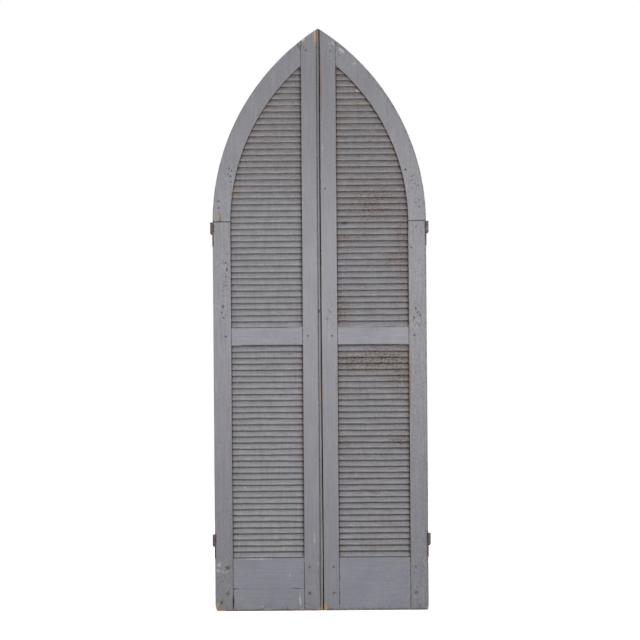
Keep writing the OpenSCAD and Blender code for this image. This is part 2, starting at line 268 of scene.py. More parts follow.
def ragged(tree, amount, where, size, low, high):
    """A mask with a torn edge: amount plus a noise from -0.5 to 0.5, cut between low and high. It
    fades out where the amount itself comes near 0, so that the noise alone can't show."""
    noise = add(tree, "ShaderNodeTexNoise", {},
                {"Vector": where, "Scale": 1 / size, "Detail": 4.0, "Roughness": 0.65})
    tear = ranged(tree, noise.outputs[0], 0.3, 0.7, -0.5, 0.5)
    torn = ranged(tree, calc(tree, "ADD", amount, tear), low, high)
    return times(tree, torn, ranged(tree, amount, 0.03, 0.2))


def worn(tree, kind, where, size, low, high):
    """The torn mask of one of the piece's own attributes."""
    return ragged(tree, masked(tree, kind), where, size, low, high)


def coats(tree, colour, layers):
    """The colour under its layers, the lowest first. Each is a mask, the hex colour that covers
    where the mask is 1, and its strength there."""
    for mask, over, strength in layers:
        colour = add(tree, "ShaderNodeMix", {"data_type": "RGBA"},
                     {0: times(tree, mask, strength), 6: colour, 7: linear(over)}).outputs[2]
    return colour


def bumped(tree, height, strength, distance):
    """The normal of a surface that looks raised by height times distance, more or less strongly."""
    return add(tree, "ShaderNodeBump", {},
               {"Height": height, "Strength": strength, "Distance": distance}).outputs[0]


# %% Painted frame wood
RAW_WOOD = "#ab8c6f"
BROWN_WOOD = "#6d4d3a"
DARK_WOOD_AND_SHADOW = "#2e221d"
# painted shade for the gap between the doors and under the slats along each rail's top
PAINTED_GAP_SHADE = "#150d0b"
PALE_SCRAPE = "#c3c6c6"
OIL_IOR = 1.48
GRAIN_SCALE, SPECK_SCALE = 0.035, 0.4    # along the grain, so that both grow long that way
BRUSH_STREAK = 4.5 * MM      # real bristle marks are near 1 mm, drawn as coarse as a pixel shows
THIN_STREAK = 2.2 * MM
SPECK, FLECK = 4.2 * MM, 3.6 * MM
CLOUD = 130 * MM
TEAR = 5 * MM                # the size of the bites in a torn edge
LOW_SHADE_TOP, LOW_SHADE_FOOT = 1.15, 0.4      # painted shade darkens it below the one, most below the other
HIGH_SHADE_FOOT, HIGH_SHADE_TOP = 1.45, 2.15         # painted shade darkens it from the one up to the other


def frame_paint(name, along, lean, light, middle, dark, specked=0.15, low_shade=0.27, high_shade=0.3,
                relief=0.55):
    """Old oil paint on a member whose grain runs along axis 0, 1 or 2, turned by the lean. Specked
    is how much it is specked all over, from 0 to 1, beside its weathered places. The next two are
    the strengths of the painted shade towards the floor and towards the top, and relief is that of
    the brush marks."""
    material, tree, shader = new_paint(f"oil_paint_on_{name}")
    plain, grain, short = (
        stretched(tree, [scale if axis == along else 1.0 for axis in range(3)], (0, lean, 0))
        for scale in (1.0, GRAIN_SCALE, SPECK_SCALE))
    streaks = mottle(tree, grain, BRUSH_STREAK, 0.35, 0.65)
    thin = mottle(tree, grain, THIN_STREAK, 0.52, 0.7)
    weather = masked(tree, "weather")
    specked_here = calc(tree, "MULTIPLY_ADD", weather, 0.5, specked)
    specks = times(tree, mottle(tree, short, SPECK, 0.5, 0.64, 2.0), specked_here)
    glints = times(tree, mottle(tree, plain, SPECK, 0.47, 0.34, 2.0), specked_here)
    flecks = times(tree, mottle(tree, short, FLECK, 0.65, 0.68, 1.5), weather)
    bare = worn(tree, "bare", grain, TEAR, 0.35, 0.5)
    gap = masked(tree, "gap")
    colour = coats(tree, linear(middle), [
        (mottle(tree, plain, CLOUD, 0.35, 0.68), light, 0.75),
        (mottle(tree, short, 30 * MM, 0.5, 0.7), "#8490a2", 0.3),
        (mottle(tree, short, 22 * MM, 0.54, 0.74), "#9c8a86", 0.32),
        (streaks, dark, 0.5),
        (thin, light, 0.4),
        # painted shade: darker towards the floor and towards the top, as if less light fell there
        (by_height(tree, LOW_SHADE_TOP, LOW_SHADE_FOOT), "#575965", low_shade),
        (by_height(tree, HIGH_SHADE_FOOT, HIGH_SHADE_TOP), "#5b5b61", high_shade),
        (specks, "#4f4a4c", 0.75),
        (glints, "#c2c0c4", 0.5),
        (flecks, "#41352f", 0.75),
        (worn(tree, "pale", plain, 7 * MM, 0.2, 0.6), PALE_SCRAPE, 0.6),
        # dirt, and in the quirk beside the bead painted shade
        (worn(tree, "grime", plain, 14 * MM, 0.2, 0.8), "#4c4443", 0.75),
        (worn(tree, "edge", grain, TEAR, 1.05, 1.2), "#8b7d74", 0.7),
        (worn(tree, "brown", plain, TEAR, 0.3, 0.65), BROWN_WOOD, 0.8),
        # dark holes, joints and cracks, and the painted shadow beside the knuckles
        (worn(tree, "dark", plain, TEAR, 0.3, 0.7), DARK_WOOD_AND_SHADOW, 0.9),
        (bare, RAW_WOOD, 1.0),
        # painted shade: the gap between the doors and the line along each rail's top
        (gap, PAINTED_GAP_SHADE, 1.0),
    ])
    height = calc(tree, "MULTIPLY_ADD", streaks, 0.35, thin)
    height = calc(tree, "SUBTRACT", calc(tree, "SUBTRACT", height, specks), bare)
    feed(tree, shader, {
        "Base Color": colour,
        "Roughness": ranged(tree, streaks, 0, 1, 0.56, 0.7),
        "Specular IOR Level": ranged(tree, gap, 0, 1, 0.5, 0.05),    # the painted shade in the gap doesn't shine
        "Normal": bumped(tree, height, relief, 0.35 * MM),
        "IOR": OIL_IOR,
    })
    return material


UPRIGHT, LEVEL = 2, 0
HEAD_GRAIN = radians(24)     # the heads' chords lean this far from upright
RECIPES = {
    # name: axis and lean of the grain, the light, middle and dark coat, and what else is its own
    "hinge_stiles": (UPRIGHT, 0, "#9b999d", "#908f93", "#7c7b81",
                     {"specked": 0.22, "low_shade": 0.33}),
    "meeting_stiles": (UPRIGHT, 0, "#9b9aa0", "#929197", "#818087",
                       {"specked": 0.1, "high_shade": 0.5}),
    "mid_rails": (LEVEL, 0, "#9d9ca3", "#8c8b94", "#82818a", {"relief": 0.25}),
    "bottom_rails": (LEVEL, 0, "#8f9099", "#82838c", "#7b7c85",
                     {"specked": 0.12, "low_shade": 0.0, "relief": 0.2}),
    "left_head": (UPRIGHT, -HEAD_GRAIN, "#9d9ca2", "#94939a", "#818087",
                  {"specked": 0.16, "high_shade": 0.46}),
    "right_head": (UPRIGHT, HEAD_GRAIN, "#a09fa4", "#96959b", "#84838a",
                   {"specked": 0.18, "high_shade": 0.5}),
}
frame_paints = {name: frame_paint(name, *main, **own) for name, (*main, own) in RECIPES.items()}
print(len(frame_paints), "kinds of painted wood share one recipe")

# %% [markdown]
# Sections and bars
#
# Every member of the frame is a bar: a section carried along a line. A box with a Bevel modifier
# would give even, new-looking arrises, so here the section is a closed line with an arc at each
# corner, and the bar is a grid of stations and section points. The grid is kept straight while
# nicks and waves are pressed into it along its normals, and only then is it bent into place.


# %% Sections
NEAR_ENDS = np.array([1.2, 3.0, 6.0]) * MM       # points close to each end of a length
EVEN_FROM = 9 * MM                               # and where the even ones begin
SHORT_LENGTH = 25 * MM                           # shorter ones are cut evenly all along
SHORT_STEP = 2.2 * MM
SMALL_RADIUS = 2.5 * MM                          # smaller arcs need fewer points


def spaced(length, step):
    """Positions inside a length: close together near both ends and about a step apart between."""
    if length < SHORT_LENGTH:
        return np.linspace(0, length, max(3, int(round(length / SHORT_STEP))))[1:-1]
    count = max(2, int((length - 2 * EVEN_FROM) / step))
    middle = np.linspace(EVEN_FROM, length - EVEN_FROM, count)
    return np.unique(np.concatenate([NEAR_ENDS, middle, length - NEAR_ENDS]))


def round_arris(share):
    """How much points at these shares of an arc belong to its arris: most in the middle."""
    return 0.6 + 0.4 * np.sin(np.pi * share)


def near_arris(distance):
    """The same for flat wood beside an arris: it falls off with the distance from it."""
    return 0.55 * np.exp(-distance / (2 * MM))


def outline(corners, radii, step):
    """A closed section line: each corner is an arc that touches both of its sides, and the sides
    between the arcs are cut into short lengths. Corners run anticlockwise. Returns points, outward
    normals and how much each point belongs to an arris, from 0 to 1."""
    corners = np.array(corners, float)
    radii = np.array(radii, float)
    ahead = np.roll(corners, -1, 0) - corners
    ahead = ahead / np.linalg.norm(ahead, axis=1)[:, None]
    before = np.roll(ahead, 1, 0)
    turned = before[:, 0] * ahead[:, 1] - before[:, 1] * ahead[:, 0]
    bend = np.arctan2(turned, (before * ahead).sum(1))
    reach = radii * np.tan(np.abs(bend) / 2)
    start = corners - before * reach[:, None]
    end = corners + ahead * reach[:, None]
    points, normals, arris = [], [], []
    for i in range(len(corners)):
        share = np.linspace(0, 1, 5 if radii[i] < SMALL_RADIUS else 10)
        outward = np.arctan2(-before[i, 0], before[i, 1]) + bend[i] * share
        ray = np.stack([np.cos(outward), np.sin(outward)], 1)
        centre = start[i] - ray[0] * radii[i] * np.sign(bend[i])
        side = start[(i + 1) % len(corners)] - end[i]
        length = np.linalg.norm(side)
        inside = spaced(length, step)
        nearest_end = np.minimum(inside, length - inside)
        points += [centre + ray * radii[i] * np.sign(bend[i]),
                   end[i] + inside[:, None] * side / length]
        normals += [ray, np.repeat(ray[-1:], len(inside), 0)]
        arris += [round_arris(share) * (bend[i] > 0), near_arris(nearest_end)]
    return np.concatenate(points), np.concatenate(normals), np.concatenate(arris)


# %% Bars
END_ROUND = 1.2 * MM
CAP_INSET = 2.4 * MM
CAP_ARRIS = 0.3


def bar(section, length, step):
    """The surface of a bar as arrays of stations by section points. At each end the section draws
    in along a quarter circle and then once more on the flat end, which one face closes.
    Returns place and normal, each across, through and along, and the arris weight."""
    points, normals, arris = section
    share = np.linspace(0, 1, 4)
    turn = share * np.pi / 2
    draw = END_ROUND * (1 - np.sin(turn))
    rise = END_ROUND * (1 - np.cos(turn))
    middle = END_ROUND + spaced(length - 2 * END_ROUND, step)
    flat = np.zeros(len(middle))
    along = np.concatenate([[0], rise, middle, length - rise[::-1], [length]])
    cap = [END_ROUND + CAP_INSET]
    inset = np.concatenate([cap, draw, flat, draw[::-1], cap])
    lean = np.concatenate([[-1], -np.cos(turn), flat, np.cos(turn)[::-1], [1]])
    rim = round_arris(share)
    corner = np.concatenate([[CAP_ARRIS], rim, flat, rim, [CAP_ARRIS]])
    corner = np.maximum(corner, near_arris(np.minimum(along, length - along)))
    shape = (len(along), len(points), 3)
    place = np.empty(shape)
    place[..., :2] = points[None] - normals[None] * inset[:, None, None]
    place[..., 2] = along[:, None]
    normal = np.empty(shape)
    normal[..., :2] = normals[None] * np.sqrt(1 - lean ** 2)[:, None, None]
    normal[..., 2] = lean[:, None]
    return place, normal, np.maximum(corner[:, None], arris[None])


# %% Meshes
def dress(node, name, mesh, material):
    """Makes the object that stands for a node, with the material: it rides on the node's body."""
    mesh.materials.append(material)
    mesh.shade_smooth()
    piece = bpy.data.objects.new(name, mesh)
    scene.collection.objects.link(piece)
    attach(piece, frame["nodes"][node]["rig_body"])
    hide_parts(node)
    return piece


def solids(node, rings, material, attributes):
    """Makes one object of closed solids over its node from an array [solid, ring, point, xyz] in
    metres. Quads join each ring to the next and one face closes each end. If the volume comes out
    negative, the faces are turned round, so that they point outwards."""
    index = np.arange(rings[..., 0].size).reshape(rings.shape[:3])
    here = index[:, :-1, :]
    there = index[:, 1:, :]
    quads = np.stack([here, np.roll(here, -1, 2), np.roll(there, -1, 2), there], -1).reshape(-1, 4)
    caps = np.concatenate([index[:, 0, ::-1], index[:, -1, :]])
    flat = rings.reshape(-1, 3)
    a, b, c, d = (flat[quads[:, i]] for i in range(4))
    volume = ((a * np.cross(b, c)).sum() + (a * np.cross(c, d)).sum()) / 6
    if volume < 0:
        quads = quads[:, ::-1]
        caps = caps[:, ::-1]
    name = node + "_wood"
    mesh = bpy.data.meshes.new(name)
    mesh.from_pydata(flat.tolist(), [], quads.tolist() + caps.tolist())
    for key, values in attributes.items():
        layer = mesh.attributes.new(key, "FLOAT", "POINT")
        values = np.broadcast_to(values, rings.shape[:3])
        layer.data.foreach_set("value", values.astype(np.float32).ravel())
    dress(node, name, mesh, material)
    print(name, "has", len(quads) + len(caps), "faces")


# %% [markdown]
# Waves, nicks and marks
#
# A plane leaves boards slightly wavy, and a century of use leaves nicks along the arrises. Both are
# sums of a few sine waves in random directions: cheap, smooth and the same on every run. The marks
# that can be told one by one in the photograph are a list of places on the doors, each a soft oval
# of raw wood, brown stain, pale scrape or dark hole, or of weather, where there are more specks.
# The raw and the dark ones also sink the wood.
# A few of the dark ones are painted shadow, between the hinge stiles and their knuckles.


# %% Waves
WAVES = 8
FULL_TURN = 6.283
FEWEST, MOST = 0.6, 1.7      # how many of a drawn wave go into the given size


def ripple(u, v, size, seed):
    """A smooth random height near -1 to 1: the sum of sine waves about size long, each in its own
    direction, over the square root of their number."""
    draw = np.random.default_rng(seed)
    total = 0
    lows, highs = [0, 0, FEWEST], [FULL_TURN, FULL_TURN, MOST]
    for angle, phase, stretch in draw.uniform(lows, highs, (WAVES, 3)):
        way = u * np.cos(angle) + v * np.sin(angle)
        total = total + np.sin(FULL_TURN * way * stretch / size + phase)
    return total / WAVES ** 0.5


# %% Marks on the fronts
MARKS = {
    # x, z, half width and half height in millimetres on the closed doors, and strength
    "bare": [
        (-12, 2383, 4.6, 26, 0.9), (-426, 4, 26, 4.5, 0.95), (-437, 14, 5, 12, 0.8),
        (-432, 27, 3.7, 12.5, 0.8), (13, 13, 9, 13, 1), (-1, 14, 4, 13, 1), (3, 40, 3.7, 22, 0.9),
        (-9, 8, 7, 6, 0.8), (439, 8, 6, 6, 0.85), (-1, 1148, 2.5, 6.2, 0.6),
        (-2, 900, 2.2, 32, 0.5), (-451, 276, 2.5, 29.1, 0.8), (-84, 6, 14, 3.7, 0.8),
        (-60, 3, 12, 3, 0.7), (-418, 1637, 5.6, 15, 0.5), (252, 2174, 3.7, 3.3, 0.7),
    ],
    "brown": [
        (6, 1443, 2.9, 10.4, 0.8), (373, 957, 4.6, 150, 0.6), (371, 1240, 3.6, 120, 0.4),
        (447, 1300, 3.5, 210, 0.4), (-370, 1530, 3, 90, 0.35), (66, 949, 3.3, 58.1, 0.45),
        (437, 239, 3.3, 37.4, 0.7), (-383, 1405, 7.5, 74.7, 0.35), (380, 1505, 3.3, 4.2, 0.8),
        (-449, 459, 2.9, 166, 0.4), (10, 2190, 3.2, 150, 0.7), (0, 940, 2.4, 120, 0.55),
        (-416, 1638, 8, 19, 0.75), (442, 1548, 3, 26, 0.9), (-442, 1543, 3, 28, 0.9),
        (442, 250, 3, 26, 0.9), (-442, 245, 3, 28, 0.9), (262, 2163, 6, 5, 0.8),
        (210, 2222, 5, 12, 0.5), (-8, 583, 3.3, 124.5, 0.4), (-11, 148, 4.2, 83, 0.5),
    ],
    "pale": [
        (-62, 2369, 5, 4.2, 0.9), (59, 2356, 10.4, 8.3, 0.4), (96, 2322, 12, 14, 0.45),
        (153, 2270, 9.1, 7.5, 0.4), (15, 1918, 2.1, 16.6, 0.5), (-425, 194, 9.1, 10, 0.55),
        (-428, 168, 10, 8.3, 0.5), (-91, 40, 3.3, 18.7, 0.8), (-403, 164, 12.5, 6.2, 0.4),
        (-29, 293, 2.1, 24.9, 0.5), (-16, 193, 3.3, 8.3, 0.6), (-136, 148, 5, 4.2, 0.5),
        (-249, 18, 5, 2.9, 0.6), (-253, 216, 49.8, 2.5, 0.7), (-438, 1546, 2.9, 12.5, 0.3),
    ],
    "dark": [
        (-373, 1837, 3.3, 3.3, 1.15), (-362, 1828, 3.3, 3.3, 1.15), (-377, 1814, 3.3, 3.3, 1.15),
        (-368, 1806, 3.3, 3.3, 1.15), (-365, 1782, 3.2, 3.2, 1.05), (360, 1828, 4.6, 4.2, 1.15),
        (388, 1801, 3.2, 3.2, 1.05), (386, 1784, 3.2, 3.2, 1.05), (409, 1762, 3.2, 3.2, 1.05),
        (400, 1692, 3.2, 3.2, 0.95), (400, 1591, 3.2, 3.5, 0.95), (381, 1505, 3.6, 3.6, 1.1),
        (-410, 1631, 2.6, 9, 0.75), (-414, 1618, 8, 3, 0.9), (-421, 1699, 3.3, 3.3, 0.95),
        (-421, 1674, 3.3, 3.3, 0.95), (-389, 1447, 3.2, 4.2, 1.05), (-385, 1418, 3.2, 7.5, 1.05),
        (-389, 1389, 3.2, 4.2, 0.95), (-392, 1351, 3.2, 5, 1.05), (-403, 1264, 3.2, 8.3, 1.05),
        (-407, 1239, 3.2, 4.2, 0.95), (-399, 1218, 3.2, 5, 1.05), (398, 1252, 3.2, 7.5, 1.05),
        (415, 1223, 3.2, 5, 1.05), (406, 1235, 3.2, 4.2, 0.95), (390, 1214, 3.2, 5.8, 0.95),
        (410, 1185, 3.2, 4.2, 0.95), (90, 2306, 6.6, 3.7, 0.8), (26, 1750, 3.2, 5, 0.95),
        (-68, 2347, 3.2, 4.2, 0.85), (-60, 2337, 3.7, 3.7, 0.85), (-52, 2329, 3.3, 3.3, 0.85),
        (-417, 37, 4.2, 6.6, 1.15), (-368, 40, 3.2, 29.1, 1.15), (-352, 106, 10.4, 2.1, 0.7),
        (31, 1210, 3.2, 3.3, 1.05), (-4, 1243, 3.2, 8.3, 0.85), (-82, 2346, 4, 3.5, 1.05),
        (-76, 2335, 3.2, 4.5, 0.95),
        # the torn rings round the bottom rails' pegs
        (-391, 180, 7.5, 7.5, 0.95), (-391, 72, 6.5, 6.5, 0.95), (-50, 180, 6, 6, 0.5),
        (-50, 72, 6.5, 6.5, 0.85), (391, 180, 6, 6, 0.5), (391, 72, 6.5, 6.5, 0.85),
        (50, 180, 6, 6, 0.45), (50, 72, 6.5, 6.5, 0.75),
        # the leaf edges under the knuckles, rusted dark
        (441, 1545, 2.6, 30, 0.85), (-441, 1541, 2.6, 32, 0.85), (441, 248, 2.6, 30, 0.85),
        (-441, 244, 2.6, 32, 0.85),
        # the painted shadow between each hinge stile and the knuckle beside it
        (440.5, 1597, 3.2, 24, 1.15), (-440.5, 1593, 3.2, 24, 1.05), (440.5, 300, 3.2, 24, 1.15),
        (-440.5, 296, 3.2, 24, 1.05),
    ],
    "weather": [
        (-391, 1397, 22, 70, 0.8), (-407, 1243, 25, 35, 0.8), (-378, 1818, 30, 55, 0.7),
        (398, 1216, 30, 60, 1), (405, 1450, 50, 200, 0.4), (394, 1776, 35, 75, 0.8),
        (46, 1243, 20, 50, 0.9), (405, 940, 40, 200, 0.4), (402, 560, 40, 160, 0.25),
        (-408, 120, 40, 90, 0.5), (408, 150, 45, 170, 0.55), (-60, 90, 30, 90, 0.45),
        (60, 90, 30, 90, 0.45), (35, 1950, 30, 150, 0.2), (90, 2320, 60, 60, 0.4),
    ],
}
SUNK = {"bare": 1.6 * MM, "dark": 1.2 * MM}
FALL_OFF = 0.7


def ovals(places, x, z):
    """The highest of some soft ovals at each point: strength times e to the power of minus FALL_OFF
    times the square of the distance in half widths."""
    total = np.zeros_like(x)
    for centre_x, centre_z, half_w, half_h, strength in places:
        away = ((x / MM - centre_x) / half_w) ** 2 + ((z / MM - centre_z) / half_h) ** 2
        total = np.maximum(total, strength * np.exp(-FALL_OFF * away))
    return total


# %% Members of the frame
STATION_STEP = 3.2 * MM
WAVE = 0.16 * MM
SHORT_WAVE, LONG_WAVE = 70 * MM, 260 * MM
NICK = 1.3 * MM
NICK_LONG = 26 * MM
JOINT_DIRT = 2.1 * MM        # how far dirt reaches from a joint
FOOT_WORN = 3.5 * MM         # how far up the feet are rubbed to the wood
FOOT_DIRTY = 8 * MM          # and how far up they are dirty


def nothing(z, place):
    """No groove and no dirt."""
    return np.zeros_like(z)


def member(node, section, length, put, material, seed, groove=nothing, grime=nothing, gap=nothing,
           joints=(0, 0)):
    """Builds one member over its node: a bar with waves, nicks and marks pressed in, put in place.
    Put turns across, through and along into x, y and z. Groove, grime and gap take z and the place
    in the bar: groove returns a depth, grime an amount of dirt, which in the quirk is painted shade,
    and gap an amount of painted shade. Joints are how dark the bar's two ends are, where they meet
    other pieces."""
    place, normal, arris = bar(section, length, STATION_STEP)
    across, through, along = (place[..., i] for i in range(3))
    x, _, z = put(across, through, along)
    front = np.clip(normal[..., 1] * 3 + 0.9, 0, 1)
    waves = ripple(across, along, SHORT_WAVE, seed) + ripple(across, along, LONG_WAVE, seed + 1)
    dents = np.clip(ripple(across + 2 * through, along, NICK_LONG, seed + 2) - 0.75, 0, 1)
    depth = WAVE * waves + NICK * arris ** 2 * (dents + 0.25)
    amounts = {kind: ovals(places, x, z) * front for kind, places in MARKS.items()}
    for kind, sunk in SUNK.items():
        depth = depth + sunk * amounts[kind] ** 2
    cut = groove(z, place) * front
    foot_edge = np.exp(-(z / FOOT_WORN) ** 2)
    amounts["edge"] = arris
    amounts["gap"] = gap(z, place)
    amounts["grime"] = grime(z, place)
    for kind, least in (("dark", np.clip(cut / MM, 0, 1)),
                        ("dark", joints[0] * np.exp(-(along / JOINT_DIRT) ** 2)),
                        ("dark", joints[1] * np.exp(-((length - along) / JOINT_DIRT) ** 2)),
                        ("brown", 0.9 * foot_edge),
                        ("bare", 0.5 * foot_edge),
                        ("grime", np.exp(-(z / FOOT_DIRTY) ** 2))):
        amounts[kind] = np.maximum(amounts[kind], least)
    depth = np.maximum(depth + cut, 0) * (1 - amounts["gap"])
    place = place - normal * depth[..., None]
    xyz = np.stack(put(place[..., 0], place[..., 1], place[..., 2]), -1)
    solids(node, xyz[None], material, amounts)


# %% [markdown]
# Hinge stiles
#
# The outer upright of each door is a plain length of wood, 74 by 32 mm. It is the most weathered
# part, with dark flecks along the grain, and its foot has lost its outer corner on the left. The
# section runs across from the hinge edge to the panel and through from the back to the face. A
# member's dirt follows a rule of its own: here it is the floor's and that of hands at the edge.

# %% Hinge stiles
ARRIS = 1.3 * MM
SECTION_STEP = 4.5 * MM
LOST_W = 26 * MM
LOST_H = 30 * MM
HEAD_LAP = 0.4 * MM          # the stile runs this far into the head, or a slit would show
HAND_REACH = 6 * MM          # how far dirt from hands reaches in from the outer edge
FLOOR_REACH = 30 * MM        # and dirt from the floor up
thick = back_y - face_y


def plain_section(width):
    """A rectangle, width across and the door's thickness through, with small rounded arrises."""
    return outline([(0, 0), (width, 0), (width, thick), (0, thick)], [ARRIS] * 4, SECTION_STEP)


def floor_dirt(z, strength, reach):
    """Dirt that fades upwards from the floor over the reach."""
    return strength * np.exp(-z / reach)


def hand_dirt(strength):
    """The rule for the floor's dirt and, of this strength, that of hands at the outer edge."""
    def grime(z, place):
        handled = strength * np.exp(-place[..., 0] / HAND_REACH)
        return np.maximum(floor_dirt(z, 0.38, FLOOR_REACH), handled)
    return grime


def stile_put(edge_x, side, lost):
    """Across runs from the hinge edge towards the middle, through from back to face, along upwards.
    Lost is how far the outer corner at the foot is worn in, which fades over LOST_W and LOST_H."""
    def put(across, through, along):
        gone = lost * np.clip(1 - along / LOST_H, 0, 1) ** 2 * np.clip(1 - across / LOST_W, 0, 1)
        return edge_x - side * (across + gone), back_y - through, along
    return put


for side, door, edge_dirt, lost in ((-1, "left", 0.1, 7 * MM), (1, "right", 0.5, 2 * MM)):
    low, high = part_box(f"{door}_hinge_stile")
    stile_w = high.x - low.x
    stile_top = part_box(f"{door}_arch_head")[0].z + HEAD_LAP
    hinge_edge = low.x if side < 0 else high.x
    member(f"{door}_hinge_stile", plain_section(stile_w), stile_top,
           stile_put(hinge_edge, side, lost), frame_paints["hinge_stiles"], 11 + side,
           grime=hand_dirt(edge_dirt), joints=(0, 1.3))
print("the hinge stiles are", round(stile_w / MM), "mm wide and", round(stile_top / MM), "mm tall")

# %% [markdown]
# Meeting stiles
#
# The two inner uprights run up into the point of the arch, where their tops are sawn to its curve.
# The left one has a quirk and bead down its edge, the usual way to make a joint between two doors
# look meant. The right one has a tongue that closes the gap behind the bead. So one section is
# carried up the door, and near the top each of its points stops at its own height on the arch.
# The dark line between the doors isn't straight: long thin stiles warp. Both edges therefore
# drift to the left with their height by the same amount, which keeps the gap between them even.

# %% Meeting stiles
BEAD = 8 * MM
QUIRK = 3 * MM
QUIRK_DEEP = 5 * MM
QUIRK_ARRIS = 2.4 * MM
TONGUE_BACK = 6 * MM
TONGUE_PLAY = 0.1 * MM
SHARP = 0.4 * MM
EDGE_BEVEL = radians(3.5)
QUIRK_SHADE_ON_FLAT = 3 * MM         # the quirk's painted shade reaches this far over the flat
QUIRK_SHADE_ON_BEAD = 1 * MM          # and over the bead
TOP_BLEND = 300 * MM
DRIFT_BAND = 17 * MM         # the edges drift within this much of their width
DRIFT_WHOLE = 3 * MM         # and in full within this much
DRIFT = [
    # height, and how far the gap has drifted to the left there, in millimetres
    (200, 0), (625, 0.4), (1019, 1.25), (1455, 1.7), (1808, 2.1), (2036, 1.4), (2277, 1.5),
]
springing = 1612 * MM
arch_r = 952 * MM
pair_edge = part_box("right_hinge_stile")[1].x
arch_cx = arch_r - pair_edge
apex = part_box("left_meeting_stile")[1].z


def arch_height(x):
    """The height of the arch's outer edge over x: the springing line plus the circle's ordinate."""
    return springing + np.sqrt(arch_r ** 2 - (arch_cx + np.abs(x)) ** 2)


def meeting_put(panel_x, side, edge):
    """Across runs from the panel to the meeting edge and along upwards. Over the last stretch the
    height is shared out so that the top follows the arch. Near the meeting edge, which is edge
    across, the wood drifts to the left with its height: both stiles have a slight bow."""
    blend_from = apex - TOP_BLEND
    drift_z, drift_x = np.array(DRIFT).T * MM

    def put(across, through, along):
        near_edge = np.clip((across - edge + DRIFT_BAND) / (DRIFT_BAND - DRIFT_WHOLE), 0, 1)
        x = panel_x - side * across - near_edge * np.interp(along, drift_z, drift_x)
        share = np.clip((along - blend_from) / TOP_BLEND, 0, 1)
        top = arch_height(x)
        z = np.where(along < blend_from, along, blend_from + share * (top - blend_from))
        return x, back_y - through, z
    return put


flat_w = 64 * MM
bead_x0 = flat_w + QUIRK
bead_x1 = bead_x0 + BEAD
gap_w = 5 * MM
tongue_x = flat_w + gap_w - TONGUE_PLAY
tongue_y = thick - TONGUE_BACK
fall = np.tan(EDGE_BEVEL)    # a bevelled edge falls back this much for each metre through
beaded = outline(
    [(0, 0), (bead_x1 - thick * fall, 0), (bead_x1, thick), (bead_x0, thick),
     (bead_x0, thick - QUIRK_DEEP), (flat_w, thick - QUIRK_DEEP), (flat_w, thick), (0, thick)],
    [ARRIS, ARRIS, BEAD * 0.49, BEAD * 0.45, SHARP, SHARP, QUIRK_ARRIS, ARRIS], SECTION_STEP)
tongued = outline(
    [(0, 0), (tongue_x - tongue_y * fall, 0), (tongue_x, tongue_y), (flat_w, tongue_y),
     (flat_w, thick), (0, thick)],
    [ARRIS, ARRIS, SHARP, SHARP, ARRIS, ARRIS], SECTION_STEP)


def quirk_shade_and_foot_dirt(z, place):
    """Painted shade in the quirk beside the bead, darker where it is deeper, and dirt a little
    at the foot.
    """
    across = place[..., 0]
    beside = (across > flat_w - QUIRK_SHADE_ON_FLAT) & (across < bead_x0 + QUIRK_SHADE_ON_BEAD)
    sunk = np.clip((thick - place[..., 1]) / (2 * MM) - 0.3, 0, 1)
    return np.maximum(0.8 * sunk * beside, floor_dirt(z, 0.35, FLOOR_REACH))


def gap_shade(start, fade):
    """The rule for painted shade in the gap, on all that lies further across than the start. It
    grows from the face inwards over the fade."""
    def gap(z, place):
        return np.clip((thick - place[..., 1]) / fade, 0, 1) * (place[..., 0] > start)
    return gap


# the walls of the gap past these points, and the tongue, get painted shade
for side, door, section, edge, shade in (
        (-1, "left", beaded, bead_x1, gap_shade(bead_x1 - 1.3 * MM, 0.7 * MM)),
        (1, "right", tongued, flat_w, gap_shade(flat_w - 0.3 * MM, 0.9 * MM))):
    low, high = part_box(f"{door}_meeting_stile")
    panel_x = low.x if side < 0 else high.x
    member(f"{door}_meeting_stile", section, apex, meeting_put(panel_x, side, edge),
           frame_paints["meeting_stiles"], 23 + side, grime=quirk_shade_and_foot_dirt, gap=shade)

# %% [markdown]
# Arched heads
#
# Each head is sawn from one board, so its grain runs straight from the springing to the apex while
# its edges curve. Its lower end sits on the hinge stile and its upper end against the meeting
# stile. The opening's curve has a shorter radius than the outer edge and a centre of its own, so
# the head widens upwards. The bar is bent to arcs that change from the one curve to the other, and
# each of its points starts and stops at its own angle, so that both ends come out as flat cuts.

# %% Arched heads
head_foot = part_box("left_arch_head")[0].z
inner_x = abs(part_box("left_meeting_stile")[0].x)
head_w = stile_w
opening_r = 860 * MM
opening_cx = opening_r - (pair_edge - stile_w)


def head_arc(share):
    """The arc at this share of the way from the outer edge to the opening: its radius, how far its
    centre lies beyond the middle, and its angles at the foot and at the meeting stile."""
    radius = arch_r + share * (opening_r - arch_r)
    centre = arch_cx + share * (opening_cx - arch_cx)
    first = np.arcsin((head_foot - springing) / radius)
    return radius, centre, first, np.arccos((centre + inner_x) / radius)


def head_put(side):
    """Across runs inwards from the outer edge. Along becomes the angle round each arc's centre,
    from the level cut at the foot to the upright cut at the meeting stile."""
    def put(across, through, along):
        radius, centre, first, last = head_arc(across / head_w)
        angle = first + along / head_l * (last - first)
        x = side * (radius * np.cos(angle) - centre)
        return x, back_y - through, springing + radius * np.sin(angle)
    return put


middle_r, _, middle_first, middle_last = head_arc(0.5)
head_l = middle_r * (middle_last - middle_first)
for side, door, edge_dirt in ((-1, "left", 0.3), (1, "right", 0.6)):
    member(f"{door}_arch_head", plain_section(head_w), head_l, head_put(side),
           frame_paints[f"{door}_head"], 37 + side, grime=hand_dirt(edge_dirt), joints=(1.3, 0.75))
print("each head is", round(head_l / MM), "mm long round its middle")

